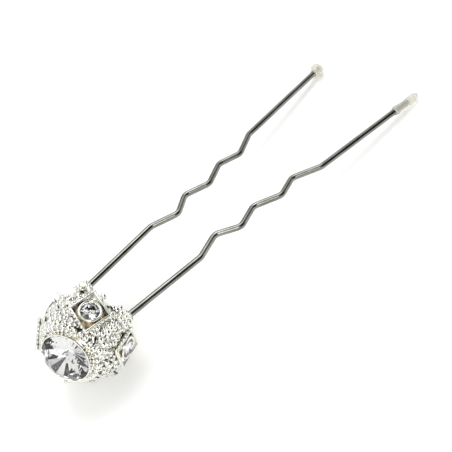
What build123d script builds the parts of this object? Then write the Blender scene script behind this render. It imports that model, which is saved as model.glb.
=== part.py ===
from build123d import *
import math
import os

# A two-legged crimped hairpin with a ball-shaped rhinestone ornament.
# The pin is drawn flat first: X across the legs, Y from the ornament to the tips, Z up out of
# the plane of the pin, with Y = 0 at the first crimp.  The ornament is drawn about its own
# centre with Z towards the big stone.  At the end everything is laid down as it rests on a
# table, on the ball and the two tips, with the origin under the middle of its box.

# ---- the wire pin ----
WIRE_R = 0.52
CRIMP_X = [6.13, 4.44, 6.84, 5.25, 7.45, 6.11, 8.48]
CRIMP_Y = [0.0, 4.66, 8.29, 12.63, 17.09, 20.99, 25.63]
CRIMP_BEND_R = 1.5
INNER_SLOPE = 0.074
OUTER_SLOPE = 0.091
INNER_LEAN = -0.0276
LEFT_TIP_Y = 46.4
RIGHT_TIP_Y = 46.15
FLEX_Y = -14.5
CROWN_Y = -21.6
CROWN_BEND_R = 4.1

# ---- the resin tips ----
BALL_TIP_R = 1.25
DROP_R = 0.72
DROP_END_R = 0.48
DROP_MOUTH_WALL = 0.06
DROP_LENGTH = 5.9
DROP_SOCKET_SHARE = 0.55
TIP_SOCKET_DEPTH = 1.5

# ---- where the legs leave the ornament ----
COLLAR_R = 0.84
COLLAR_LENGTH = 1.9
COLLAR_LIP = 0.14
COLLAR_SEAT = 1.15
ROOT_GAP = 0.12
COLLAR_SPACE = 0.08
RUN_CLEARANCE = 0.1
WIRE_HOLE_CLEARANCE = 0.03

# ---- the ball of the ornament ----
CENTRE = (0.2, -19.66, -2.79)
YAW = 27.0
PITCH = 18.0
SHELL_R = 5.6
SHELL_WALL = 0.45
SEAM_Z = 1.2
POLE_FLAT_Z = 4.2
POLE_HOLE_R = 2.8

# ---- the big stone and its cup ----
CUP_R = 4.1
CUP_FOOT_R = 3.5
CUP_WALL = 0.18
CUP_TOP_Z = 6.3
STONE_R = 3.85
STONE_TABLE_R = 2.05
STONE_CROWN = 1.35
STONE_GIRDLE = 0.2
STONE_PAVILION = 2.1
STONE_CULET_R = 0.7
STONE_GIRDLE_Z = 6.1

# ---- the four lozenge settings and their stones ----
# the settings are soldered on by hand: angle about the pole, angle from it, and twist of each
SETTING_AZIMUTH = [28.0, 101.0, 198.0, 270.0]
SETTING_POLAR = [72.0, 88.0, 72.0, 75.0]
SETTING_TWIST = [-22.0, 25.0, 0.0, 0.0]
SETTING_RIM = 7.0
SETTING_FLOOR = 6.05
SETTING_LONG = 3.4
SETTING_WIDE = 3.05
SETTING_WALL = 0.36
SETTING_TAPER = 0.66
SETTING_FOOT = 0.95
SIDE_STONE_R = 1.6
SIDE_TABLE_R = 0.85
SIDE_CROWN = 0.5
SIDE_GIRDLE = 0.1
SIDE_PAVILION = 0.72
SIDE_CULET_R = 0.3
SIDE_GIRDLE_RIM = 6.95
COLLET_WALL = 0.16
COLLET_FOOT_R = 1.12
COLLET_PROUD = 0.05

# ---- the four grained petals between them ----
PETAL_OUTER_R = 6.7
PETAL_BACK_Z = -1.0
PETAL_SIDE_GAP = 3.0
PETAL_GAP = 0.14
GRAIN_R = 0.36
GRAIN_PITCH = 1.02
GRAIN_FIRST_POLAR = 37.0
GRAIN_ROWS = 9
GRAIN_COLUMNS = 6
GRAIN_LIFT = 0.01

SEAT_GAP = 0.02


def inner_x(side, y):
    """X of the straight inner run of one leg (side 1 is the right leg) at height y."""
    return side * (CRIMP_X[0] + INNER_SLOPE * y) + INNER_LEAN * y


def inner_plane(side):
    """A plane across the leg at its flexing root, facing the tips."""
    direction = Vector(side * INNER_SLOPE + INNER_LEAN, 1, 0)
    return Plane(origin=(inner_x(side, FLEX_Y), FLEX_Y, 0), z_dir=direction)


def outer_x(side, y):
    """X of the straight outer run of one leg at height y."""
    return side * (CRIMP_X[-1] + OUTER_SLOPE * (y - CRIMP_Y[-1]))


def outer_direction(side):
    """Unit direction of the outer run of one leg, towards its tip."""
    return Vector(side * OUTER_SLOPE, 1, 0).normalized()


def leg(side, tip_y):
    """One crimped leg, from the ball-ended root inside its collar to its tip."""
    points = [(inner_x(side, FLEX_Y), FLEX_Y)]
    points += [(side * x, y) for x, y in zip(CRIMP_X, CRIMP_Y)]
    points += [(outer_x(side, tip_y), tip_y)]
    path = FilletPolyline(*points, radius=CRIMP_BEND_R)
    section = Plane(origin=path @ 0, z_dir=path % 0) * Circle(WIRE_R)
    root = Pos(inner_x(side, FLEX_Y), FLEX_Y, 0) * Sphere(WIRE_R)
    return sweep(section, path=path) + root


def crown(radius):
    """The bend of the wire inside the ball, which stops just short of both flexing roots."""
    stop_y = FLEX_Y - WIRE_R - ROOT_GAP
    ends = [(side, y) for side, y in ((-1, stop_y), (-1, CROWN_Y), (1, CROWN_Y), (1, stop_y))]
    points = [(inner_x(side, y), y) for side, y in ends]
    path = FilletPolyline(*points, radius=CROWN_BEND_R)
    section = Plane(origin=path @ 0, z_dir=path % 0) * Circle(radius)
    return sweep(section, path=path)


def collar(side):
    """The soldered sleeve where a leg leaves the ornament."""
    across = inner_plane(side)
    back = -(WIRE_R + COLLAR_SEAT)
    body = extrude(across.offset(back) * Circle(COLLAR_R), COLLAR_LENGTH)
    body = fillet(body.edges().filter_by(GeomType.CIRCLE), COLLAR_LIP)
    bore = extrude(across.offset(-(WIRE_R + ROOT_GAP)) * Circle(WIRE_R + RUN_CLEARANCE), COLLAR_LENGTH * 2)
    seat = extrude(across.offset(back - 1) * Circle(WIRE_R + WIRE_HOLE_CLEARANCE), COLLAR_SEAT + 1)
    return body - bore - seat


def ball_tip():
    """The round resin drop on the end of the left leg, with its blind socket."""
    direction = outer_direction(-1)
    end = Vector(outer_x(-1, LEFT_TIP_Y), LEFT_TIP_Y, 0)
    centre = end + direction * (BALL_TIP_R - TIP_SOCKET_DEPTH)
    mouth = Plane(origin=end - direction * 3, z_dir=direction)
    socket = extrude(mouth * Circle(WIRE_R + SEAT_GAP), 3 + SEAT_GAP)
    return Pos(*centre) * Sphere(BALL_TIP_R) - socket


def drop_tip():
    """The long resin drop on the end of the right leg: fullest near its mouth."""
    direction = outer_direction(1)
    depth = DROP_LENGTH * DROP_SOCKET_SHARE
    start = Vector(outer_x(1, RIGHT_TIP_Y), RIGHT_TIP_Y, 0) - direction * depth
    frame = Plane(origin=start, x_dir=(0, 0, 1), z_dir=direction)
    mouth = (WIRE_R + DROP_MOUTH_WALL, 0)
    fullest = (DROP_R, DROP_LENGTH * 0.22)
    waist = (DROP_R * 0.92, DROP_LENGTH * 0.6)
    shoulder = (DROP_END_R, DROP_LENGTH - DROP_END_R * 0.6)
    nose = (0, DROP_LENGTH)
    outline = Spline(mouth, fullest, waist, shoulder, nose, tangents=[(1, 0.6), (-1, 0)])
    closing = Polyline(nose, (0, 0), mouth)
    drop = revolve(make_face([outline, closing]), axis=Axis.Y)
    socket = extrude(frame * Circle(WIRE_R + SEAT_GAP), depth + SEAT_GAP)
    return frame * (Rot(90, 0, 0) * drop) - socket


def ornament_place():
    """From the ornament's own frame to the frame of the pin."""
    yaw = math.radians(YAW)
    pitch = math.radians(PITCH)
    pole = Vector(math.sin(yaw) * math.cos(pitch), -math.cos(yaw) * math.cos(pitch), math.sin(pitch))
    up = (Vector(0, 0, 1) - pole * pole.Z).normalized()
    return Plane(origin=CENTRE, x_dir=up, z_dir=pole).location


def facet_plane(polar, azimuth, radius):
    """A plane that touches the sphere of that radius; its X points towards the pole.

    Seen from the pole, azimuths run clockwise from the top of the ornament.
    """
    p = math.radians(polar)
    a = -math.radians(azimuth)
    out = Vector(math.sin(p) * math.cos(a), math.sin(p) * math.sin(a), math.cos(p))
    to_pole = Vector(0, 0, 1) - out * out.Z
    return Plane(origin=out * radius, x_dir=to_pole, z_dir=out)


def lozenge(half_long, half_wide):
    """A rhombus with its long diagonal along X."""
    corners = [(half_long, 0), (0, half_wide), (-half_long, 0), (0, -half_wide)]
    return make_face(Polyline(*corners, close=True))


def lozenge_loft(plane, depth, half_long, half_wide, taper):
    """A rhombic funnel that narrows by taper over depth, below the plane."""
    top = plane * lozenge(half_long, half_wide)
    bottom = plane.offset(-depth) * lozenge(half_long * taper, half_wide * taper)
    return loft([bottom, top])


def stone(girdle_r, table_r, crown_h, girdle_h, pavilion_h, culet_r, sides):
    """A foiled stone with its girdle on Z = 0: crown above, blunt pavilion below."""
    girdle = RegularPolygon(girdle_r, sides)
    band = extrude(Pos(0, 0, -girdle_h) * girdle, girdle_h)
    crown_part = loft([girdle, Pos(0, 0, crown_h) * RegularPolygon(table_r, sides)])
    low = Pos(0, 0, -girdle_h) * girdle
    culet = Pos(0, 0, -girdle_h - pavilion_h) * RegularPolygon(culet_r, sides)
    return band + crown_part + loft([culet, low])


def cup(top_r, foot_r, wall, height):
    """A round conical stone cup, open at both ends, with its top on Z = 0."""
    outer = Pos(0, 0, -height / 2) * Cone(foot_r, top_r, height)
    inner = Pos(0, 0, -height / 2) * Cone(foot_r - wall, top_r - wall, height)
    return outer - inner


def hollow_ball():
    """The ball's wall before it is parted at the seam."""
    return Sphere(SHELL_R) - Sphere(SHELL_R - SHELL_WALL)


def front_dome(wire_space):
    """The front half of the ball, flattened at the pole under the big stone's cup."""
    above = Pos(0, 0, SEAM_Z + 10) * Box(20, 20, 20)
    cap = Pos(0, 0, POLE_FLAT_Z + 5) * Box(20, 20, 10)
    hole = Cylinder(POLE_HOLE_R, 20)
    return (hollow_ball() & above) - cap - hole - wire_space


def back_dome(wire_space):
    """The back half of the ball, with a slot for each end of the crown."""
    below = Pos(0, 0, SEAM_Z - 10) * Box(20, 20, 20)
    return (hollow_ball() & below) - wire_space


def setting_plane(index, radius):
    """The plane of one setting at that radius, turned by its twist."""
    plane = facet_plane(SETTING_POLAR[index], SETTING_AZIMUTH[index], radius)
    return Plane(plane.location * Rot(0, 0, -SETTING_TWIST[index]))


def lozenge_setting(index):
    """A rhombic bowl seated on the ball, with a round seat for its stone's collet."""
    rim = setting_plane(index, SETTING_RIM)
    depth = SETTING_RIM - SETTING_FLOOR
    outer = lozenge_loft(rim, depth + SETTING_FOOT, SETTING_LONG, SETTING_WIDE, SETTING_TAPER)
    long_in = SETTING_LONG - SETTING_WALL
    wide_in = SETTING_WIDE - SETTING_WALL
    inner = lozenge_loft(rim, depth, long_in, wide_in, SETTING_TAPER)
    return outer - inner - Sphere(SHELL_R)


def collet(index):
    """The little round cup that grips a side stone inside its lozenge."""
    height = SETTING_RIM + COLLET_PROUD - SETTING_FLOOR
    body = cup(SIDE_STONE_R + COLLET_WALL + SEAT_GAP, COLLET_FOOT_R, COLLET_WALL, height)
    return setting_plane(index, SETTING_RIM + COLLET_PROUD).location * body


def side_stone(index):
    """One small foiled stone, level with the rim of its lozenge."""
    gem = stone(SIDE_STONE_R, SIDE_TABLE_R, SIDE_CROWN, SIDE_GIRDLE, SIDE_PAVILION, SIDE_CULET_R, 8)
    return setting_plane(index, SIDE_GIRDLE_RIM + SIDE_GIRDLE).location * gem


def lozenge_space(index, gap):
    """The space that a lozenge and its gap take out of the petals beside it."""
    inscribed = SETTING_LONG * SETTING_WIDE / math.hypot(SETTING_LONG, SETTING_WIDE)
    slope = (1 - SETTING_TAPER) / (SETTING_RIM - SETTING_FLOOR + SETTING_FOOT)
    above = 1.0
    below = SETTING_RIM - SHELL_R + 0.8
    grow = 1 + gap / inscribed
    top = (1 + slope * above) * grow
    bottom = (1 - slope * below) * grow
    rim = setting_plane(index, SETTING_RIM + above)
    return lozenge_loft(rim, above + below, SETTING_LONG * top, SETTING_WIDE * top, bottom / top)


def petal_sides(index):
    """The azimuths of the two settings that a petal lies between."""
    first = SETTING_AZIMUTH[index]
    second = SETTING_AZIMUTH[(index + 1) % len(SETTING_AZIMUTH)]
    return first, second if second > first else second + 360


def petal_wedge(index):
    """The sector of space that one petal may fill."""
    first, second = petal_sides(index)
    half = math.radians((second - first) / 2 - PETAL_SIDE_GAP)
    reach = 14
    across = reach * math.tan(half)
    outline = make_face(Polyline((0, 0), (reach, -across), (reach, across), close=True))
    return Rot(0, 0, -(first + second) / 2) * Pos(0, 0, -10) * extrude(outline, 20)


def petal(index, wire_space):
    """A cast petal: the piece of ball wall between two lozenges, the cup and the back rim."""
    wall = Sphere(PETAL_OUTER_R) - Sphere(SHELL_R)
    belt = Pos(0, 0, PETAL_BACK_Z + 10) * Box(30, 30, 20)
    cup_space = Pos(0, 0, 5) * Cylinder(CUP_R + PETAL_GAP, 10)
    body = (wall & belt & petal_wedge(index)) - cup_space
    for beside in (index, (index + 1) % len(SETTING_AZIMUTH)):
        body = body - lozenge_space(beside, PETAL_GAP)
    return largest(body - wire_space)


def largest(shape):
    """The largest solid of a cut, without its crumbs."""
    return max(shape.solids(), key=lambda solid: solid.volume)


def on_petal(direction, body):
    """True where a grain of full size would stand wholly on the petal."""
    base = PETAL_OUTER_R - 0.15
    away = [direction.cross(Vector(0, 0, 1)).normalized()]
    away += [away[0].cross(direction).normalized()]
    probes = [Vector(0, 0, 0), away[0], away[0] * -1, away[1], away[1] * -1]
    return all(body.is_inside(direction * base + probe * (GRAIN_R * 0.95)) for probe in probes)


def petal_grains(index, body):
    """The raised grains of a petal, in staggered rows, each a low dome on its surface."""
    first, second = petal_sides(index)
    dome = Sphere(GRAIN_R) & (Pos(0, 0, GRAIN_R) * Box(2, 2, 2 * GRAIN_R))
    grains = []
    step = math.degrees(GRAIN_PITCH / PETAL_OUTER_R)
    for row in range(GRAIN_ROWS):
        polar = GRAIN_FIRST_POLAR + row * step * math.sin(math.radians(60))
        around = step / math.sin(math.radians(polar))
        shift = around / 2 if row % 2 else 0
        for column in range(-GRAIN_COLUMNS, GRAIN_COLUMNS + 1):
            azimuth = (first + second) / 2 + column * around + shift
            place = facet_plane(polar, azimuth, PETAL_OUTER_R + GRAIN_LIFT)
            if on_petal(place.z_dir, body):
                grains.append(place.location * dome)
    return grains


def build():
    """Every node by name, in the frame of the pin."""
    wire = {"pin_crown": crown(WIRE_R)}
    wire["left_leg"] = leg(-1, LEFT_TIP_Y)
    wire["right_leg"] = leg(1, RIGHT_TIP_Y)
    wire["left_ball_tip"] = ball_tip()
    wire["right_drop_tip"] = drop_tip()
    wire["left_leg_collar"] = collar(-1)
    wire["right_leg_collar"] = collar(1)
    place = ornament_place()
    to_ornament = place.inverse()
    crown_space = to_ornament * crown(WIRE_R + WIRE_HOLE_CLEARANCE)
    leg_space = to_ornament * outlet_clearance()
    head = {"front_dome": front_dome(crown_space)}
    head["back_dome"] = back_dome(crown_space)
    cup_height = CUP_TOP_Z - POLE_FLAT_Z
    head["centre_cup"] = Pos(0, 0, CUP_TOP_Z) * cup(CUP_R, CUP_FOOT_R, CUP_WALL, cup_height)
    gem = stone(STONE_R, STONE_TABLE_R, STONE_CROWN, STONE_GIRDLE, STONE_PAVILION, STONE_CULET_R, 8)
    head["centre_stone"] = Pos(0, 0, STONE_GIRDLE_Z + STONE_GIRDLE) * gem
    for index in range(len(SETTING_AZIMUTH)):
        head[f"lozenge_setting_{index + 1}"] = lozenge_setting(index)
        head[f"side_collet_{index + 1}"] = collet(index)
        head[f"side_stone_{index + 1}"] = side_stone(index)
        body = petal(index, leg_space)
        head[f"petal_{index + 1}"] = body
        head[f"petal_grains_{index + 1}"] = petal_grains(index, body)
    return wire, head, place


def outlet_clearance():
    """The space that the crown, the collars and the flexing legs need beside the petals."""
    space = crown(WIRE_R + RUN_CLEARANCE)
    for side in (-1, 1):
        start = inner_plane(side).offset(-(WIRE_R + COLLAR_SEAT + COLLAR_SPACE))
        space = space + extrude(start * Circle(COLLAR_R + COLLAR_SPACE), 5)
    return space


def rest_place(shapes):
    """Lay the pin on its ball and its tips, then put the origin under the middle of the box."""
    ball_foot = CENTRE[2] - PETAL_OUTER_R - GRAIN_R
    slope = math.degrees(math.atan2(-BALL_TIP_R - ball_foot, LEFT_TIP_Y - CENTRE[1]))
    tilt = Rot(-slope, 0, 0)
    box = Compound([tilt * shape for shape in shapes]).bounding_box()
    middle = box.center()
    return Pos(-middle.X, -middle.Y, -box.min.Z) * tilt


def solids_of(shape):
    """All solids of a shape or of a list of shapes."""
    if isinstance(shape, list):
        return [solid for item in shape for solid in item.solids()]
    return list(shape.solids())


def main():
    """Write one STEP for each node."""
    os.makedirs("parts", exist_ok=True)
    wire, head, place = build()
    nodes = {name: solids_of(shape) for name, shape in wire.items()}
    for name, shape in head.items():
        nodes[name] = [place * solid for solid in solids_of(shape)]
    rest = rest_place([solid for solids in nodes.values() for solid in solids])
    for name, solids in nodes.items():
        placed = [rest * solid for solid in solids]
        node = placed[0] if len(placed) == 1 else Compound(children=placed)
        export_step(node, f"parts/{name}.step")
    for side in (-1, 1):
        print("flex root", side, (rest * Pos(inner_x(side, FLEX_Y), FLEX_Y, 0)).position)
    print("pin origin", (rest * Pos(0, 0, 0)).position, rest.orientation)


main()
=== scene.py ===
import math
import random

import bmesh
import bpy
from mathutils import Matrix, Vector, noise
from mathutils.bvhtree import BVHTree


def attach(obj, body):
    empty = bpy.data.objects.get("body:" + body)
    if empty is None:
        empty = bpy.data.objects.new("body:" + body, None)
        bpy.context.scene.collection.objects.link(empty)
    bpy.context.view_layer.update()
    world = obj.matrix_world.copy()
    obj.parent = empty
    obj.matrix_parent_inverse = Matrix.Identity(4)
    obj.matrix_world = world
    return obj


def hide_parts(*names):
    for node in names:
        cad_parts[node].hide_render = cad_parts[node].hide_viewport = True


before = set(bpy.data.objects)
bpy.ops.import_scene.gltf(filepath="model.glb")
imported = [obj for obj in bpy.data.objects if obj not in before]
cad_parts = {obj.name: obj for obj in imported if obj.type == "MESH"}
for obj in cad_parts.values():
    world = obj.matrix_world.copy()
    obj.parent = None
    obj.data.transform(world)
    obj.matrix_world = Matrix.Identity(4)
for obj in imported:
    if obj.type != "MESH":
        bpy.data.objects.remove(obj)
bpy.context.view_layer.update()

# Lengths are in millimetres and angles in degrees, unless a comment says otherwise.
MM = 0.001

# How the pin lies on the table: its own plane leans forward by this much, and its own
# origin stands here. Beads that reach the table are flat at this height.
REST_TILT = 7.41732
REST_ORIGIN = Vector((0.193874, -10.5187, 7.20788))
REST_GAP = 0.02

# The ornament: the ball's centre in the frame of the pin, and where its big stone faces.
BALL_CENTRE = Vector((0.2, -19.66, -2.79))
POLE_YAW = 27
POLE_PITCH = 18

# The four lozenge settings: degrees clockwise from the top, degrees from the big stone,
# and each one's own turn. Their rims stand at one radius and have these half diagonals.
SETTING_COUNT = 4
SETTING_AZIMUTH = [28, 101, 198, 270]
SETTING_POLAR = [72, 88, 72, 75]
SETTING_TWIST = [-22, 25, 0, 0]
SETTING_RIM = 7.0
SETTING_LONG = 3.4
SETTING_WIDE = 3.05

# The outer face of the petals.
PETAL_R = 6.7

# The roots of the legs, in the frame of the pin: their height on the pin, and the line
# that each leg's inner run follows.
FLEX_Y = -14.5
CRIMP_X = 6.13
INNER_SLOPE = 0.074
INNER_LEAN = -0.0276

random.seed(11)


# ---------------------------------------------------------------- frames and meshes

def ornament_matrix():
    """From the ornament's own frame, in millimetres, to the model's frame, in metres."""
    yaw = math.radians(POLE_YAW)
    pitch = math.radians(POLE_PITCH)
    pole = Vector((math.sin(yaw) * math.cos(pitch),
                   -math.cos(yaw) * math.cos(pitch),
                   math.sin(pitch)))
    up = (Vector((0, 0, 1)) - pole * pole.z).normalized()
    side = pole.cross(up)
    turn = Matrix((up, side, pole)).transposed().to_4x4()
    return PIN @ Matrix.Translation(BALL_CENTRE) @ turn


# From the frame of the pin, in millimetres, to the model's frame, in metres.
PIN = (Matrix.Scale(MM, 4) @ Matrix.Translation(REST_ORIGIN)
       @ Matrix.Rotation(-math.radians(REST_TILT), 4, "X"))
ORNAMENT = ornament_matrix()
TO_ORNAMENT = ORNAMENT.inverted()


def outward(polar, azimuth):
    """The direction at these degrees from the big stone and round from the top."""
    p = math.radians(polar)
    a = -math.radians(azimuth)
    return Vector((math.sin(p) * math.cos(a), math.sin(p) * math.sin(a), math.cos(p)))


def seat_matrix(direction, radius, twist=0.0):
    """A frame on the ball: Z outwards and X towards the big stone, turned by twist."""
    out = direction.normalized()
    to_pole = (Vector((0, 0, 1)) - out * out.z).normalized()
    turn = Matrix((to_pole, out.cross(to_pole), out)).transposed().to_4x4()
    return (Matrix.Translation(out * radius) @ turn
            @ Matrix.Rotation(math.radians(twist), 4, "Z"))


def setting_matrix(index, radius):
    """The frame of one lozenge setting at that radius."""
    direction = outward(SETTING_POLAR[index], SETTING_AZIMUTH[index])
    return seat_matrix(direction, radius, -SETTING_TWIST[index])


def span_matrix(one, two):
    """A frame halfway between two places on the ball, with X along them, and how far
    apart they are."""
    a = outward(one[0], one[1]) * one[2]
    b = outward(two[0], two[1]) * two[2]
    along = (b - a).normalized()
    out = ((a + b) / 2).normalized()
    across = out.cross(along).normalized()
    turn = Matrix((along, across, along.cross(across))).transposed().to_4x4()
    return Matrix.Translation((a + b) / 2) @ turn, (b - a).length


def ornament_piece(name, bm, finishes, place=ORNAMENT, smooth=True):
    """A bmesh in millimetres becomes one piece that rides on the ornament."""
    bm.normal_update()
    mesh = bpy.data.meshes.new(name)
    bm.to_mesh(mesh)
    bm.free()
    mesh.transform(place)
    for vertex in mesh.vertices:
        vertex.co.z = max(vertex.co.z, REST_GAP * MM)
    for polygon in mesh.polygons:
        polygon.use_smooth = smooth
    for finish in finishes:
        mesh.materials.append(finish)
    obj = bpy.data.objects.new(name, mesh)
    bpy.context.scene.collection.objects.link(obj)
    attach(obj, "ornament")
    return obj


def add_bead(bm, place, radius, flatten=1.0, level=2):
    """A solder bead: a ball pressed down to flatten of its height."""
    squash = Matrix.Diagonal((1, 1, flatten, 1))
    bmesh.ops.create_icosphere(bm, subdivisions=level, radius=radius, matrix=place @ squash)


def add_ring(bm, place, ring_r, wire_r, around=20, across=10):
    """A ring of fine wire lying on the surface."""
    loops = []
    for i in range(around):
        a = 2 * math.pi * i / around
        loop = []
        for j in range(across):
            b = 2 * math.pi * j / across
            r = ring_r + wire_r * math.cos(b)
            point = Vector((r * math.cos(a), r * math.sin(a), wire_r * math.sin(b)))
            loop.append(bm.verts.new(place @ point))
        loops.append(loop)
    for i in range(around):
        for j in range(across):
            one, two = loops[i], loops[(i + 1) % around]
            k = (j + 1) % across
            bm.faces.new((one[j], two[j], two[k], one[k]))


def add_finger(bm, place, length, wire_r, around=10, rings=6):
    """A short round-ended finger of wire along X, centred on the place."""
    half = max(length / 2 - wire_r, 0.0)
    profile = []
    for k in range(1, rings + 1):
        t = math.pi / 2 * k / rings
        profile.append((-half - wire_r * math.cos(t), wire_r * math.sin(t)))
    for k in range(rings):
        t = math.pi / 2 * k / rings
        profile.append((half + wire_r * math.sin(t), wire_r * math.cos(t)))
    first = bm.verts.new(place @ Vector((-half - wire_r, 0, 0)))
    last = bm.verts.new(place @ Vector((half + wire_r, 0, 0)))
    loops = []
    for x, r in profile:
        loop = []
        for j in range(around):
            a = 2 * math.pi * j / around
            loop.append(bm.verts.new(place @ Vector((x, r * math.cos(a), r * math.sin(a)))))
        loops.append(loop)
    for one, two in zip(loops, loops[1:]):
        for j in range(around):
            k = (j + 1) % around
            bm.faces.new((one[j], one[k], two[k], two[j]))
    for j in range(around):
        k = (j + 1) % around
        bm.faces.new((first, loops[0][k], loops[0][j]))
        bm.faces.new((last, loops[-1][j], loops[-1][k]))


# ---------------------------------------------------------------- materials

def linear(code):
    """sRGB hex to the linear colour that shaders take."""
    parts = [int(code[i:i + 2], 16) / 255 for i in (1, 3, 5)]
    return tuple(c / 12.92 if c <= 0.04045 else ((c + 0.055) / 1.055) ** 2.4
                 for c in parts) + (1.0,)


def cells(size):
    """How many times a pattern of that size in millimetres repeats in a metre."""
    return 1 / (size * MM)


def add(tree, kind, settings=None, **links):
    """Adds one node. Settings go on its properties or sockets, and links come from the
    sockets of other nodes: Base_Color is the socket Base Color, and i1 is socket 1."""
    node = tree.nodes.new(kind)
    for key, value in (settings or {}).items():
        if isinstance(key, str) and hasattr(node, key):
            setattr(node, key, value)
        else:
            node.inputs[key].default_value = value
    for key, source in links.items():
        numbered = key[0] == "i" and key[1:].isdigit()
        name = int(key[1:]) if numbered else key.replace("_", " ")
        tree.links.new(source, node.inputs[name])
    return node


def new_material(name):
    """An empty material, its node tree, and the coordinates that its patterns lie in."""
    material = bpy.data.materials.new(name)
    material.use_nodes = True
    tree = material.node_tree
    tree.nodes.clear()
    return material, tree, add(tree, "ShaderNodeTexCoord").outputs["Object"]


def drawn_spring_steel():
    """Nickel-plated spring steel wire, drawn through a die: a tight bright reflection with
    faint lines along the wire and a slight grey-green cast."""
    material, tree, where = new_material("drawn_nickel_plated_spring_steel")
    # Die lines 0.08 mm apart and about 3 mm long: coarser than real ones, so that they show.
    stretch = add(tree, "ShaderNodeMapping",
                  {"Scale": (cells(0.08), cells(3.125), cells(0.08))}, Vector=where)
    lines = add(tree, "ShaderNodeTexNoise", {"Scale": 1.0, "Detail": 3.0},
                Vector=stretch.outputs[0])
    # Handling haze in patches of about 3 mm.
    haze = add(tree, "ShaderNodeTexNoise", {"Scale": cells(3.03), "Detail": 4.0}, Vector=where)
    tone = add(tree, "ShaderNodeValToRGB", Fac=haze.outputs["Fac"])
    tone.color_ramp.elements[0].position = 0.35
    tone.color_ramp.elements[0].color = linear("#7E807A")
    tone.color_ramp.elements[1].position = 0.7
    tone.color_ramp.elements[1].color = linear("#999A94")
    rough = add(tree, "ShaderNodeMapRange", {"To Min": 0.16, "To Max": 0.3},
                Value=lines.outputs["Fac"])
    bump = add(tree, "ShaderNodeBump", {"Strength": 0.12, "Distance": 0.02 * MM},
               Height=lines.outputs["Fac"])
    steel = add(tree, "ShaderNodeBsdfPrincipled", {"Metallic": 1.0},
                Base_Color=tone.outputs["Color"], Roughness=rough.outputs[0],
                Normal=bump.outputs[0])
    add(tree, "ShaderNodeOutputMaterial", Surface=steel.outputs[0])
    return material


def dipped_resin():
    """Cream resin dipped on the wire ends: glossy, and clear enough for the wire to show
    through as a darker core."""
    material, tree, where = new_material("dipped_cream_resin")
    # Slow changes in the thickness of the dip, about 1 mm long.
    cloud = add(tree, "ShaderNodeTexNoise", {"Scale": cells(1.0), "Detail": 2.0}, Vector=where)
    tone = add(tree, "ShaderNodeValToRGB", Fac=cloud.outputs["Fac"])
    tone.color_ramp.elements[0].color = linear("#EDEADB")
    tone.color_ramp.elements[1].color = linear("#FBFAF2")
    bump = add(tree, "ShaderNodeBump", {"Strength": 0.2, "Distance": 0.04 * MM},
               Height=cloud.outputs["Fac"])
    resin = add(tree, "ShaderNodeBsdfPrincipled",
                {"Roughness": 0.14, "IOR": 1.53, "Transmission Weight": 0.6},
                Base_Color=tone.outputs["Color"], Normal=bump.outputs[0])
    add(tree, "ShaderNodeOutputMaterial", Surface=resin.outputs[0])
    return material


def silver_plate(name, roughness, light, shade, painted_recess_shade, deep_r, open_r, grain, bumps):
    """Silver plating, uneven between a light and a shade tone in tarnish patches. Nearer to
    the middle of the ball than open_r it turns towards the deep colour, a painted shade warmed
    by painted reflected light for the recesses, which it reaches at deep_r. The casting's
    texture has that grain size, and bumps is its strength."""
    material, tree, where = new_material(name)
    centre = ORNAMENT @ Vector((0, 0, 0))
    distance = add(tree, "ShaderNodeVectorMath", {"operation": "DISTANCE", 1: tuple(centre)},
                   i0=where)
    rise = add(tree, "ShaderNodeMapRange", {"From Min": deep_r * MM, "From Max": open_r * MM},
               Value=distance.outputs["Value"])
    # Tarnish in patches of about 0.9 mm.
    tarnish = add(tree, "ShaderNodeTexNoise", {"Scale": cells(0.9), "Detail": 5.0},
                  Vector=where)
    plate = add(tree, "ShaderNodeMix",
                {"data_type": "RGBA", 6: linear(shade), 7: linear(light)},
                i0=tarnish.outputs["Fac"])
    # Painted shade and warm reflected light fill the deep places, fading out towards open_r.
    colour = add(tree, "ShaderNodeMix", {"data_type": "RGBA", 6: linear(painted_recess_shade)},
                 i0=rise.outputs[0], i7=plate.outputs[2])
    grit = add(tree, "ShaderNodeTexNoise", {"Scale": cells(grain), "Detail": 3.0},
               Vector=where)
    rough = add(tree, "ShaderNodeMapRange",
                {"To Min": roughness * 0.7, "To Max": roughness * 1.5},
                Value=grit.outputs["Fac"])
    # Polishing doesn't reach the deep places, so besides their painted shade they are softer
    # too.
    unpolished = add(tree, "ShaderNodeMapRange", {"To Min": 0.3, "To Max": 0.0},
                     Value=rise.outputs[0])
    finish = add(tree, "ShaderNodeMath", {"operation": "ADD"},
                 i0=rough.outputs[0], i1=unpolished.outputs[0])
    bump = add(tree, "ShaderNodeBump", {"Strength": bumps, "Distance": 0.05 * MM},
               Height=grit.outputs["Fac"])
    metal = add(tree, "ShaderNodeBsdfPrincipled", {"Metallic": 1.0},
                Base_Color=colour.outputs[2], Roughness=finish.outputs[0],
                Normal=bump.outputs[0])
    add(tree, "ShaderNodeOutputMaterial", Surface=metal.outputs[0])
    return material


def cut_crystal():
    """Machine-cut lead crystal: clear, colourless and flat-polished, so that every facet
    shows a different part of the foil."""
    material, tree, where = new_material("cut_lead_crystal")
    # Faint polishing wave, about 0.6 mm.
    wave = add(tree, "ShaderNodeTexNoise", {"Scale": cells(0.625), "Detail": 1.0},
               Vector=where)
    tint = add(tree, "ShaderNodeMix",
               {"data_type": "RGBA", 6: linear("#FFFFFF"), 7: linear("#FAFAFB")},
               i0=wave.outputs["Fac"])
    glass = add(tree, "ShaderNodeBsdfPrincipled",
                {"Roughness": 0.0, "IOR": 1.58, "Transmission Weight": 1.0},
                Base_Color=tint.outputs[2])
    add(tree, "ShaderNodeOutputMaterial", Surface=glass.outputs[0])
    return material


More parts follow.
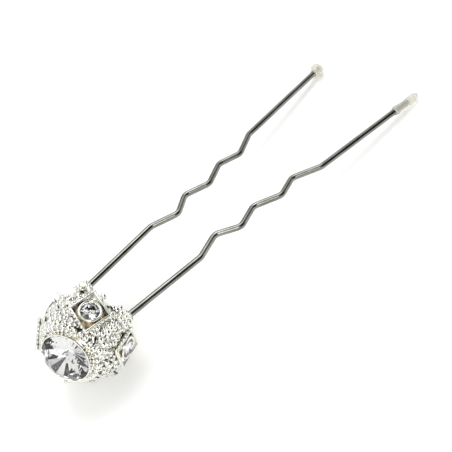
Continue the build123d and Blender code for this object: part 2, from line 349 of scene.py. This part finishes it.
def mirror_foil():
    """Silver foil behind the crystal: a mirror, faintly lilac in places."""
    material, tree, where = new_material("silvered_stone_foil")
    # Uneven silvering in patches of about 1.4 mm.
    drift = add(tree, "ShaderNodeTexNoise", {"Scale": cells(1.43), "Detail": 1.0},
                Vector=where)
    tint = add(tree, "ShaderNodeValToRGB", Fac=drift.outputs["Fac"])
    tint.color_ramp.elements[0].position = 0.4
    tint.color_ramp.elements[0].color = linear("#F6F6F4")
    tint.color_ramp.elements[1].position = 0.62
    tint.color_ramp.elements[1].color = linear("#F1F0F3")
    foil = add(tree, "ShaderNodeBsdfPrincipled", {"Metallic": 1.0, "Roughness": 0.03},
               Base_Color=tint.outputs["Color"])
    add(tree, "ShaderNodeOutputMaterial", Surface=foil.outputs[0])
    return material


def matt_card():
    """White card: matt, with a faint fibre of about 1.1 mm, and lit a little from below so
    that shadows stay soft."""
    material, tree, where = new_material("matt_white_card")
    fibre = add(tree, "ShaderNodeTexNoise", {"Scale": cells(1.11), "Detail": 4.0},
                Vector=where)
    tone = add(tree, "ShaderNodeMix",
               {"data_type": "RGBA", 6: linear("#FBFBFA"), 7: linear("#FFFFFF")},
               i0=fibre.outputs["Fac"])
    card = add(tree, "ShaderNodeBsdfPrincipled",
               {"Roughness": 0.9, "Specular IOR Level": 0.1,
                "Emission Color": linear("#FFFFFF"), "Emission Strength": 0.16},
               Base_Color=tone.outputs[2])
    add(tree, "ShaderNodeOutputMaterial", Surface=card.outputs[0])
    return material


STEEL = drawn_spring_steel()
RESIN = dipped_resin()
# Cast petals: the plate lies over a pitted casting, so it is bright but broken up; a painted
# warm shade darkens its pits and low places.
CAST_SILVER = silver_plate("silver_plated_pitted_casting", roughness=0.16, light="#FAFAF6",
                           shade="#E8E8E2", painted_recess_shade="#DDD6C2", deep_r=6.0, open_r=6.5,
                           grain=0.3, bumps=0.3)
# Stamped lozenges: smooth, bright rims over recesses tinted tan by painted shade and painted
# warm reflected light.
BRIGHT_SILVER = silver_plate("silver_plated_stamped_brass", roughness=0.12, light="#F8F8F3",
                             shade="#E2E2DB", painted_recess_shade="#F1E4CB", deep_r=6.0, open_r=6.98,
                             grain=0.5, bumps=0.15)
# The spun domes and turned collars: smooth and polished, darkening to a painted brown shade
# nearer the middle of the ball.
POLISHED_SILVER = silver_plate("polished_silver_plate", roughness=0.08, light="#FAFAF6",
                               shade="#E4E3DC", painted_recess_shade="#8F8366", deep_r=4.9, open_r=5.9,
                               grain=0.8, bumps=0.08)
# Painted shadow for the deepest gaps: a dull, almost black grey metal.
GAP_SHADOW_FINISH = silver_plate("painted_gap_shadow", roughness=0.5, light="#2E2F29",
                           shade="#1B1C18", painted_recess_shade="#1B1C18", deep_r=5.0, open_r=6.0,
                           grain=0.4, bumps=0.4)
CRYSTAL = cut_crystal()
FOIL = mirror_foil()


# ---------------------------------------------------------------- stones

# Each cut: girdle radius, table radius, then the heights of crown, girdle and pavilion,
# and the culet radius.
CENTRE_CUT = (3.85, 2.2, 1.25, 0.2, 2.1, 0.25)
SIDE_CUT = (1.42, 0.8, 0.5, 0.1, 0.72, 0.1)

# How far from the middle of the ball the top of each girdle lies.
CENTRE_SEAT = 6.3
SIDE_SEAT = 7.05


def facetted_stone(name, node, place, cut, turn):
    """A machine-cut round stone with its girdle top on Z = 0: a table, eight broad crown
    facets with halves between them, and a foiled pavilion cut the same way."""
    girdle_r, table_r, crown_h, girdle_h, pavilion_h, culet_r = cut
    bm = bmesh.new()

    def ring(count, r, z):
        angles = [math.radians(turn + 360 * k / count) for k in range(count)]
        return [bm.verts.new((r * math.cos(a), r * math.sin(a), z)) for a in angles]

    table = ring(8, table_r, crown_h)
    upper = ring(16, girdle_r, 0)
    lower = ring(16, girdle_r, -girdle_h)
    culet = ring(8, culet_r, -girdle_h - pavilion_h)
    bm.faces.new(table)
    foiled = [bm.faces.new(list(reversed(culet)))]
    for k in range(8):
        n = (k + 1) % 8
        here, half, back = 2 * k, 2 * k + 1, 2 * k - 1
        bm.faces.new((table[k], upper[half], table[n]))
        bm.faces.new((table[k], upper[here], upper[half]))
        bm.faces.new((table[k], upper[back], upper[here]))
        foiled.append(bm.faces.new((culet[k], culet[n], lower[half])))
        foiled.append(bm.faces.new((culet[k], lower[half], lower[here])))
        foiled.append(bm.faces.new((culet[k], lower[here], lower[back])))
        bm.faces.new((upper[here], lower[here], lower[half], upper[half]))
        bm.faces.new((upper[back], lower[back], lower[here], upper[here]))
    for face in foiled:
        face.material_index = 1
    bmesh.ops.recalc_face_normals(bm, faces=bm.faces)
    gem = ornament_piece(name, bm, [CRYSTAL, FOIL], place, smooth=False)
    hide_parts(node)


def all_stones():
    """The big stone, and a small one in each lozenge, each turned its own way."""
    place = ORNAMENT @ Matrix.Translation((0, 0, CENTRE_SEAT))
    facetted_stone("centre_brilliant", "centre_stone", place, CENTRE_CUT, 8)
    for index in range(SETTING_COUNT):
        place = ORNAMENT @ setting_matrix(index, SIDE_SEAT)
        facetted_stone(f"side_brilliant_{index + 1}", f"side_stone_{index + 1}", place,
                       SIDE_CUT, 10 + 13 * index)


# ---------------------------------------------------------------- petals

# The casting: the even mesh it is shaped in, the pitch of its lumps, how deep the pits
# between them are, and how far the whole face sinks. The wall is plain up to one radius
# and fully lumpy from the next.
PETAL_MESH = 0.11
LUMP_PITCH = 1.25
PIT_DEPTH = 0.3
FACE_SINK = 0.05
PLAIN_R = 6.2
LUMPY_R = 6.6

# Granules on the petals: their pitch, the pitch of the rows as a share of it, how many
# degrees each one strays, and the smallest and largest radius. The first and last rows
# are degrees from the big stone. The shares are of rings and of short wires; the rest
# are beads. A ring's radius and a wire's length are shares of the granule's radius, each
# with its wire's own radius, and a bead is pressed down to a share of its height. All
# keep a margin from the petal's edge, which is where its face drops by EDGE_DROP.
GRANULE_PITCH = 1.0
ROW_SHARE = 0.86
STRAY = 1.2
GRANULE_R = (0.4, 0.53)
FIRST_ROW = 40.0
LAST_ROW = 100
RING_SHARE = 0.22
WIRE_SHARE = 0.12
RING_R, RING_WIRE_R = 0.75, 0.17
WIRE_LENGTH, WIRE_R = 2.6, 0.26
BEAD_HEIGHT = 0.75
PETAL_MARGIN = 0.3
EDGE_DROP = 0.15

# A radius outside everything on the ball.
CLEAR_R = 9


def petal_tree(index):
    """The CAD petal in the ornament's frame, to ask where it is."""
    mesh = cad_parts[f"petal_{index + 1}"].data
    points = [TO_ORNAMENT @ v.co for v in mesh.vertices]
    faces = [tuple(p.vertices) for p in mesh.polygons]
    return BVHTree.FromPolygons(points, faces)


def on_petal(tree, direction):
    """True if the petal's outer face is under this direction and a margin round it."""
    out = direction.normalized()
    side = out.cross(Vector((0, 0, 1))).normalized()
    lift = out.cross(side)
    edge = PETAL_MARGIN
    for dx, dy in ((0, 0), (edge, 0), (-edge, 0), (0, edge), (0, -edge)):
        aim = (out * PETAL_R + side * dx + lift * dy).normalized()
        hit = tree.ray_cast(aim * CLEAR_R, -aim)
        if hit[0] is None or hit[0].length < PETAL_R - EDGE_DROP:
            return False
    return True


def cast_petal(index):
    """The petal as it comes from the mould: a lumpy wall with pits between the lumps."""
    name = f"cast_petal_{index + 1}"
    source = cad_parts[f"petal_{index + 1}"]
    obj = bpy.data.objects.new(name, source.data.copy())
    bpy.context.scene.collection.objects.link(obj)
    remesh = obj.modifiers.new("even_mesh", "REMESH")
    remesh.mode = "VOXEL"
    remesh.voxel_size = PETAL_MESH * MM
    shown = obj.evaluated_get(bpy.context.evaluated_depsgraph_get())
    mesh = bpy.data.meshes.new_from_object(shown)
    obj.modifiers.clear()
    obj.data = mesh
    centre = ORNAMENT @ Vector((0, 0, 0))
    # Each petal gets its own part of the pattern.
    shift = Vector((index * 7.1, 0, 0))
    for vertex in mesh.vertices:
        at = TO_ORNAMENT @ vertex.co
        outer = max(0.0, min(1.0, (at.length - PLAIN_R) / (LUMPY_R - PLAIN_R)))
        if outer == 0:
            continue
        distances = noise.voronoi(at / LUMP_PITCH + shift)[0]
        lump = min(distances[1] - distances[0], 0.5) / 0.5
        push = (lump ** 0.6 - 1.0) * PIT_DEPTH - FACE_SINK
        vertex.co = centre + (vertex.co - centre) * (1 + push * outer / at.length)
    mesh.update()
    mesh.materials.clear()
    mesh.materials.append(CAST_SILVER)
    for polygon in mesh.polygons:
        polygon.use_smooth = True
    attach(obj, "ornament")
    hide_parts(f"petal_{index + 1}")


def petal_granules(index):
    """Solder beads, little rings and short wires in rows over one petal."""
    tree = petal_tree(index)
    bm = bmesh.new()
    first = SETTING_AZIMUTH[index]
    second = SETTING_AZIMUTH[(index + 1) % SETTING_COUNT]
    if second < first:
        second += 360
    step = math.degrees(GRANULE_PITCH / PETAL_R)
    row = 0
    polar = FIRST_ROW
    while polar < LAST_ROW:
        around = step / math.sin(math.radians(polar))
        count = int((second - first) / around) + 2
        for column in range(-count, count + 1):
            azimuth = (first + second) / 2 + (column + (0.5 if row % 2 else 0)) * around
            down = random.uniform(-STRAY, STRAY)
            across = random.uniform(-STRAY, STRAY)
            kind = random.random()
            size = random.uniform(*GRANULE_R)
            if not first < azimuth < second:
                continue
            direction = outward(polar + down, azimuth + across)
            if not on_petal(tree, direction):
                continue
            place = seat_matrix(direction, PETAL_R, random.uniform(0, 180))
            if kind < RING_SHARE:
                add_ring(bm, place, size * RING_R, RING_WIRE_R)
            elif kind < RING_SHARE + WIRE_SHARE:
                add_finger(bm, place, size * WIRE_LENGTH, WIRE_R)
            else:
                add_bead(bm, place, size, BEAD_HEIGHT, 3)
        row += 1
        polar += step * ROW_SHARE
    obj = ornament_piece(f"petal_granules_{index + 1}", bm, [CAST_SILVER])
    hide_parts(f"petal_grains_{index + 1}")


# ---------------------------------------------------------------- settings

# Along each side of a lozenge: how many beads, their radius, and how far they sit outside
# the side and below the rim. Each corner has a larger bead, set in a little, as a share of
# the half diagonal.
SIDE_BEADS = 7
SIDE_BEAD_R = 0.25
SIDE_BEAD_OUT = 0.02
SIDE_BEAD_DROP = 0.16
CORNER_BEAD_R = 0.3
CORNER_BEAD_IN = 0.985
CORNER_BEAD_DROP = 0.1

# The rolled rim of a lozenge: its size as a share of the half diagonals, how far it lies
# below the rim, how far its sides run past each other, and its wire radius. Then the
# rolled edge over the stone: where it sits, its radius and its wire radius.
RIM_IN = 0.96
RIM_DROP = 0.05
RIM_OVERLAP = 0.2
RIM_WIRE_R = 0.17
BEZEL_SEAT = 7.06
BEZEL_R = 1.58
BEZEL_WIRE_R = 0.18

# Soldered beads are a little flatter than balls: their height as a share.
SOLDERED = 0.95

# Rows of beads round the big stone's cup: how many, degrees from the stone, radius of the
# row's seat, bead radius, and how much it varies.
CUP_ROWS = [(30, 42.5054, 6.9, 0.45, 0.05), (34, 38.8007, 6.35, 0.36, 0.0)]


def lozenge_beading(index):
    """The milled edge of a lozenge: beads along its four sides, and a rolled rim."""
    bm = bmesh.new()
    place = setting_matrix(index, SETTING_RIM)
    corners = [Vector((SETTING_LONG, 0, 0)), Vector((0, SETTING_WIDE, 0)),
               Vector((-SETTING_LONG, 0, 0)), Vector((0, -SETTING_WIDE, 0))]
    for one, two in zip(corners, corners[1:] + corners[:1]):
        side = two - one
        away = Vector((side.y, -side.x, 0)).normalized()
        for k in range(SIDE_BEADS):
            at = one + side * ((k + 0.5) / SIDE_BEADS) + away * SIDE_BEAD_OUT
            at.z = -SIDE_BEAD_DROP
            radius = SIDE_BEAD_R * random.uniform(0.9, 1.1)
            add_bead(bm, place @ Matrix.Translation(at), radius)
    for corner in corners:
        at = corner * CORNER_BEAD_IN - Vector((0, 0, CORNER_BEAD_DROP))
        add_bead(bm, place @ Matrix.Translation(at), CORNER_BEAD_R)
    inner = [corner * RIM_IN for corner in corners]
    for one, two in zip(inner, inner[1:] + inner[:1]):
        along = (two - one).normalized()
        up = Vector((0, 0, 1))
        turn = Matrix((along, up.cross(along), up)).transposed().to_4x4()
        middle = Matrix.Translation((one + two) / 2 - up * RIM_DROP)
        length = (two - one).length + RIM_OVERLAP
        add_finger(bm, place @ middle @ turn, length, RIM_WIRE_R, 16, 6)
    ornament_piece(f"lozenge_beading_{index + 1}", bm, [BRIGHT_SILVER])


def stone_bezel(index):
    """The rolled bright edge of a collet, turned over the small stone."""
    bm = bmesh.new()
    add_ring(bm, setting_matrix(index, BEZEL_SEAT), BEZEL_R, BEZEL_WIRE_R, 48, 14)
    ornament_piece(f"stone_bezel_{index + 1}", bm, [BRIGHT_SILVER])


def cup_beading():
    """The two rows of beads soldered round the big stone's cup, against the petals."""
    bm = bmesh.new()
    for row, (count, polar, seat, bead_r, vary) in enumerate(CUP_ROWS):
        for k in range(count):
            direction = outward(polar, 360 * (k + 0.5 * row) / count)
            radius = bead_r + vary * math.sin(k * 2.3)
            add_bead(bm, seat_matrix(direction, seat), radius, SOLDERED, 3)
    ornament_piece("cup_beading", bm, [CAST_SILVER])


# ---------------------------------------------------------------- small metalwork

# Each place on the ball is degrees from the big stone, degrees round from the top, and
# millimetres from the middle.

# Short ends of wire and prongs: both ends and the wire's radius.
SILVER_FINGERS = [
    ((116.3, 346.4, 7.44), (120.1, 352.1, 7.41), 0.36),
    ((121.4, 354.0, 7.15), (102.0, 9.3, 6.95), 0.3),
    ((37.1, 41.8, 6.5), (38.3, 56.7, 6.5), 0.46),
    ((50.7, 60.8, 6.6), (44.1, 87.1, 6.6), 0.2),
    ((54.1, 67.0, 6.6), (48.5, 89.7, 6.6), 0.2),
    ((58.4, 71.9, 6.6), (53.2, 91.0, 6.6), 0.2),
    ((41.7, 83.7, 6.75), (53.1, 91.7, 6.75), 0.2),
    ((92.8, 321.1, 7.32), (96.6, 324.8, 7.67), 0.15),
    ((87.6, 334.7, 7.1), (99.5, 327.5, 7.51), 0.15),
    ((85.6, 343.5, 7.0), (95.3, 337.6, 7.0), 0.15),
    ((100.5, 76.1, 6.95), (112.0, 91.8, 6.95), 0.3),
    ((79.5, 353.1, 6.95), (83.6, 355.0, 6.95), 0.22),
    ((52.9, 359.4, 6.85), (47.4, 358.3, 6.85), 0.2),
    ((42.5, 8.8, 6.8), (44.2, 20.1, 6.8), 0.22),
    ((35.3, 324.5, 6.4), (31.4, 345.8, 6.4), 0.25),
    ((33.3, 357.8, 6.5), (35.2, 14.0, 6.5), 0.28),
    ((53.1, 23.8, 6.85), (49.9, 34.4, 6.85), 0.2),
    ((52.6, 45.9, 6.7), (53.8, 50.6, 6.7), 0.24),
    ((78.7, 50.1, 6.9), (84.8, 52.9, 6.9), 0.2),
    ((64.6, 66.7, 6.85), (63.0, 71.5, 6.85), 0.22),
]

# Dark fingers painted with the shadow in gaps between pieces: both ends and half their width.
PAINTED_GAP_SHADOWS = [
    ((70.0, 356.9, 6.9), (64.9, 3.4, 6.9), 0.22),
    ((56.6, 9.8, 6.95), (56.0, 14.8, 6.95), 0.16),
    ((46.4, 5.7, 6.85), (45.1, 13.3, 6.85), 0.13),
    ((45.5, 21.5, 6.85), (47.6, 33.0, 6.85), 0.15),
    ((44.8, 44.6, 6.85), (50.1, 47.3, 6.85), 0.14),
    ((44.4, 45.0, 6.85), (44.7, 53.3, 6.85), 0.14),
    ((52.2, 58.4, 6.85), (45.3, 64.4, 6.85), 0.15),
    ((91.4, 39.3, 7.05), (92.3, 42.0, 7.05), 0.12),
    ((94.4, 43.0, 7.05), (94.6, 46.4, 7.05), 0.12),
    ((105.3, 58.5, 7.1), (103.4, 64.1, 7.1), 0.18),
    ((102.4, 72.6, 7.25), (109.9, 77.3, 7.25), 0.14),
    ((96.6, 1.3, 7.1), (95.6, 4.5, 7.1), 0.18),
    ((105.5, 356.6, 7.1), (108.3, 358.0, 7.1), 0.1),
    ((41.1, 105.1, 6.85), (41.9, 111.7, 6.85), 0.13),
    ((44.7, 105.3, 6.85), (46.6, 107.6, 6.85), 0.1),
    ((50.2, 111.7, 6.85), (52.4, 113.4, 6.85), 0.1),
    ((58.4, 104.5, 6.95), (60.6, 107.7, 6.95), 0.11),
    ((64.3, 120.5, 6.95), (73.6, 128.1, 6.95), 0.12),
    ((72.3, 133.2, 7.1), (79.5, 138.9, 7.45), 0.13),
    ((81.1, 310.2, 6.99), (56.8, 318.6, 6.95), 0.1),
    ((87.5, 319.8, 7.0), (78.0, 314.6, 7.0), 0.09),
    ((44.0, 139.2, 6.95), (55.3, 144.3, 6.95), 0.07),
    ((48.4, 126.8, 6.95), (54.5, 138.1, 6.95), 0.09),
    ((60.4, 133.5, 6.95), (70.8, 147.6, 7.05), 0.07),
    ((91.9, 320.1, 7.04), (80.8, 331.5, 7.0), 0.1),
    ((70.7, 339.9, 6.9), (68.5, 343.0, 6.9), 0.14),
    ((79.2, 60.0, 6.9), (80.3, 64.3, 6.9), 0.09),
    ((60.8, 54.4, 6.85), (64.5, 52.9, 6.85), 0.09),
]

# Little rings of wire: place, ring radius and wire radius.
WIRE_RINGS = [
    ((111.5, 340.2, 7.34), 0.27, 0.09),
    ((101.9, 359.6, 7.1), 0.2, 0.1),
    ((90.7, 15.6, 7.0), 0.23, 0.08),
    ((95.7, 65.8, 7.1), 0.24, 0.08),
    ((37.4, 84.3, 6.75), 0.22, 0.08),
    ((70.4, 340.4, 6.85), 0.26, 0.1),
    ((61.7, 104.6, 6.9), 0.3, 0.11),
    ((66.7, 123.4, 6.95), 0.32, 0.11),
    ((44.8, 132.3, 6.95), 0.4, 0.12),
    ((55.0, 132.5, 6.95), 0.4, 0.12),
    ((64.7, 134.7, 7.0), 0.38, 0.12),
    ((76.5, 141.7, 7.45), 0.36, 0.12),
    ((46.5, 303.7, 7.0), 0.6, 0.2),
    ((95.8, 58.1, 6.95), 0.2, 0.08),
    ((56.5, 11.8, 6.85), 0.3, 0.1),
]

# Solder beads: place and radius.
SOLDER_BEADS = [
    ((73.2, 62.4, 7.15), 0.42),
    ((78.4, 62.2, 7.2), 0.42),
    ((83.9, 62.8, 7.25), 0.42),
    ((79.0, 58.3, 7.15), 0.4),
    ((74.1, 58.0, 7.1), 0.38),
    ((84.6, 67.4, 7.2), 0.4),
    ((77.6, 65.9, 7.15), 0.36),
    ((36.2, 27.7, 6.5), 0.38),
    ((41.8, 31.3, 6.6), 0.36),
    ((36.6, 18.4, 6.5), 0.34),
    ((41.0, 41.4, 6.6), 0.36),
    ((56.4, 98.0, 6.75), 0.34),
    ((61.5, 98.3, 6.75), 0.3),
    ((51.7, 98.0, 6.7), 0.32),
    ((45.9, 184.1, 7.23), 0.5),
    ((43.0, 192.6, 7.37), 0.4),
    ((47.3, 174.4, 7.1), 0.45),
    ((98.0, 22.1, 7.0), 0.62),
    ((97.9, 29.0, 6.95), 0.5),
    ((108.3, 27.3, 7.0), 0.5),
    ((88.2, 21.7, 6.9), 0.42),
    ((102.3, 52.5, 7.0), 0.6),
    ((113.3, 54.8, 7.0), 0.5),
    ((113.3, 75.1, 7.0), 0.54),
    ((61.5, 6.9, 6.9), 0.42),
    ((49.4, 0.3, 6.85), 0.42),
    ((49.4, 18.6, 6.8), 0.38),
    ((76.2, 354.7, 6.9), 0.42),
    ((78.0, 6.4, 6.9), 0.4),
    ((89.7, 351.3, 6.95), 0.42),
    ((91.3, 359.9, 7.0), 0.42),
    ((98.5, 351.0, 7.0), 0.34),
    ((48.6, 52.7, 6.8), 0.24),
    ((99.1, 326.8, 7.05), 0.36),
    ((85.1, 4.5, 6.95), 0.4),
    ((84.5, 10.9, 6.95), 0.36),
    ((100.6, 47.3, 6.95), 0.45),
    ((66.6, 102.9, 6.8), 0.34),
    ((69.9, 59.3, 6.85), 0.3),
    ((92.0, 74.7, 6.85), 0.3),
    ((37.1, 73.9, 6.55), 0.34),
    ((37.0, 64.8, 6.5), 0.34),
    ((78.4, 338.3, 6.9), 0.38),
    ((68.7, 348.1, 6.85), 0.38),
]

# Solder beads sink this far into what they are soldered to.
BEAD_SINK = 0.25

# Rows of beads round each leg's collar: how far along the leg from its root, how many,
# how far out, their radius, and how far the row is shifted, as a share of its spacing.
# The rows start at this angle, and the beads in them vary by this much.
COLLAR_ROWS = [(-1.35, 7, 0.95, 0.47, 0.0), (-0.6, 6, 1.0, 0.47, 0.5),
               (0.0, 7, 0.9, 0.35, 0.5)]
COLLAR_START = 20
COLLAR_VARY = 0.06


def small_metalwork():
    """The prongs, rings and solder beads between the settings and round the leg exits."""
    prongs = bmesh.new()
    for one, two, wire_r in SILVER_FINGERS:
        place, length = span_matrix(one, two)
        add_finger(prongs, place, length + 2 * wire_r, wire_r, 16, 8)
    # Painted shadow: dark fingers laid in the gaps between pieces.
    gaps = bmesh.new()
    for one, two, half in PAINTED_GAP_SHADOWS:
        place, length = span_matrix(one, two)
        add_finger(gaps, place, length + 2 * half, half, 10, 5)
    rings = bmesh.new()
    for (polar, azimuth, radius), ring_r, wire_r in WIRE_RINGS:
        add_ring(rings, seat_matrix(outward(polar, azimuth), radius), ring_r, wire_r, 28, 14)
    beads = bmesh.new()
    for (polar, azimuth, radius), bead_r in SOLDER_BEADS:
        place = seat_matrix(outward(polar, azimuth), radius - BEAD_SINK)
        add_bead(beads, place, bead_r, SOLDERED, 3)
    ornament_piece("soldered_prongs", prongs, [BRIGHT_SILVER])
    ornament_piece("painted_shadow_gaps", gaps, [GAP_SHADOW_FINISH])
    ornament_piece("wire_rings", rings, [BRIGHT_SILVER])
    ornament_piece("solder_beads", beads, [BRIGHT_SILVER])


def leg_exit_dressing():
    """Solder beads packed round each collar, clear of the wire that flexes inside it."""
    bm = bmesh.new()
    for side in (-1, 1):
        slope = side * INNER_SLOPE + INNER_LEAN
        along = Vector((slope, 1, 0)).normalized()
        root = Vector((side * CRIMP_X + slope * FLEX_Y, FLEX_Y, 0))
        for level, count, reach, bead_r, shift in COLLAR_ROWS:
            for k in range(count):
                a = math.radians(360 * (k + shift) / count + COLLAR_START)
                at = root + along * level + Vector((math.cos(a), 0, math.sin(a))) * reach
                radius = bead_r + COLLAR_VARY * math.sin(3.1 * k + level)
                add_bead(bm, TO_ORNAMENT @ PIN @ Matrix.Translation(at), radius, 1.0, 3)
    ornament_piece("leg_exit_beads", bm, [BRIGHT_SILVER])


# ---------------------------------------------------------------- studio

# Half the width of the floor, in metres.
FLOOR_HALF = 1.5

# Dark openings in the white room: towards, how wide, and how dark as a share.
OPENINGS = [((0.60, 0.42, 0.68), 30, 0.95),
            ((0.82, 0.40, 0.40), 28, 0.9),
            ((0.25, 0.70, 0.62), 20, 0.9),
            ((-0.35, -0.75, 0.55), 12, 0.9),
            ((-0.75, 0.2, 0.35), 16, 0.8),
            ((0.1, -0.98, 0.12), 14, 0.9),
            ((0.95, -0.3, 0.15), 12, 0.85),
            ((0.1, 0.9, 0.35), 14, 0.8)]
ROOM_LIGHT = 0.9

# A soft light beside the camera and a wide one overhead: towards, distance and disk size
# in metres, and watts.
LIGHTS = [("front_light", (0.71, -0.27, 0.66), 0.36, 0.16, 0.3),
          ("overhead_light", (-0.28, 0.3, 0.9), 0.45, 0.3, 0.62)]

# The camera in the frame of the pin: where it stands, and its right, down and forward.
CAMERA_AT = Vector((84.367, -43.110, 86.475))
CAMERA_RIGHT = Vector((0.6813, 0.6966, -0.2247))
CAMERA_DOWN = Vector((0.3831, -0.6010, -0.7015))
CAMERA_FORWARD = Vector((-0.6237, 0.3918, -0.6764))
CAMERA_LENS = 64.5
CAMERA_SENSOR = 36


def white_floor():
    """A pale plain card under the pin."""
    bm = bmesh.new()
    bmesh.ops.create_grid(bm, x_segments=8, y_segments=8, size=FLOOR_HALF)
    mesh = bpy.data.meshes.new("floor")
    bm.to_mesh(mesh)
    bm.free()
    mesh.materials.append(matt_card())
    floor = bpy.data.objects.new("floor", mesh)
    bpy.context.scene.collection.objects.link(floor)


def white_room():
    """The light room that the metal and the stones reflect, with its dark openings."""
    world = bpy.data.worlds.new("white_room")
    bpy.context.scene.world = world
    world.use_nodes = True
    tree = world.node_tree
    tree.nodes.clear()
    direction = add(tree, "ShaderNodeTexCoord").outputs["Generated"]
    light = None
    for towards, width, dark in OPENINGS:
        aim = Vector(towards).normalized()
        near = add(tree, "ShaderNodeVectorMath", {"operation": "DOT_PRODUCT", 1: tuple(aim)},
                   i0=direction)
        mask = add(tree, "ShaderNodeMapRange",
                   {"From Min": math.cos(math.radians(width)),
                    "From Max": math.cos(math.radians(width * 0.8)),
                    "To Min": 1.0, "To Max": 1.0 - dark},
                   Value=near.outputs["Value"])
        if light is None:
            light = mask
        else:
            light = add(tree, "ShaderNodeMath", {"operation": "MULTIPLY"},
                        i0=light.outputs[0], i1=mask.outputs[0])
    glow = add(tree, "ShaderNodeMath", {"operation": "MULTIPLY", 1: ROOM_LIGHT},
               i0=light.outputs[0])
    sky = add(tree, "ShaderNodeBackground", {"Color": linear("#FDFDFB")},
              Strength=glow.outputs[0])
    add(tree, "ShaderNodeOutputWorld", Surface=sky.outputs[0])


def soft_lights():
    """The two soft disks of light."""
    for name, towards, distance, size, watts in LIGHTS:
        disk = bpy.data.lights.new(name, "AREA")
        disk.shape = "DISK"
        disk.size = size
        disk.energy = watts
        lamp = bpy.data.objects.new(name, disk)
        aim = Vector(towards).normalized()
        lamp.location = aim * distance
        lamp.rotation_mode = "QUATERNION"
        lamp.rotation_quaternion = aim.to_track_quat("Z", "Y")
        bpy.context.scene.collection.objects.link(lamp)


def stand_camera():
    """The camera, which looks down at the pin from the front right."""
    camera = bpy.data.cameras.new("camera")
    camera.sensor_width = CAMERA_SENSOR
    camera.lens = CAMERA_LENS
    camera.clip_start = 0.005
    camera.clip_end = 5
    eye = bpy.data.objects.new("camera", camera)
    bpy.context.scene.collection.objects.link(eye)
    axes = Matrix((CAMERA_RIGHT, -CAMERA_DOWN, -CAMERA_FORWARD)).transposed()
    turn = (PIN.to_3x3().normalized() @ axes).to_4x4()
    eye.matrix_world = Matrix.Translation(PIN @ CAMERA_AT) @ turn
    bpy.context.scene.camera = eye
    bpy.context.scene.view_settings.view_transform = "Standard"


# ---------------------------------------------------------------- the pin

CAD_FINISH = {
    "pin_crown": STEEL, "left_leg": STEEL, "right_leg": STEEL,
    "left_ball_tip": RESIN, "right_drop_tip": RESIN,
    "left_leg_collar": POLISHED_SILVER, "right_leg_collar": POLISHED_SILVER,
    "front_dome": POLISHED_SILVER, "back_dome": POLISHED_SILVER,
    "centre_cup": BRIGHT_SILVER,
}
for index in range(SETTING_COUNT):
    CAD_FINISH[f"lozenge_setting_{index + 1}"] = BRIGHT_SILVER
    CAD_FINISH[f"side_collet_{index + 1}"] = BRIGHT_SILVER
for node, finish in CAD_FINISH.items():
    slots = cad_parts[node].data.materials
    if len(slots) == 0:
        slots.append(finish)
    for k in range(len(slots)):
        slots[k] = finish

all_stones()
for index in range(SETTING_COUNT):
    cast_petal(index)
    petal_granules(index)
    lozenge_beading(index)
    stone_bezel(index)
cup_beading()
leg_exit_dressing()
small_metalwork()
white_floor()
white_room()
soft_lights()
stand_camera()
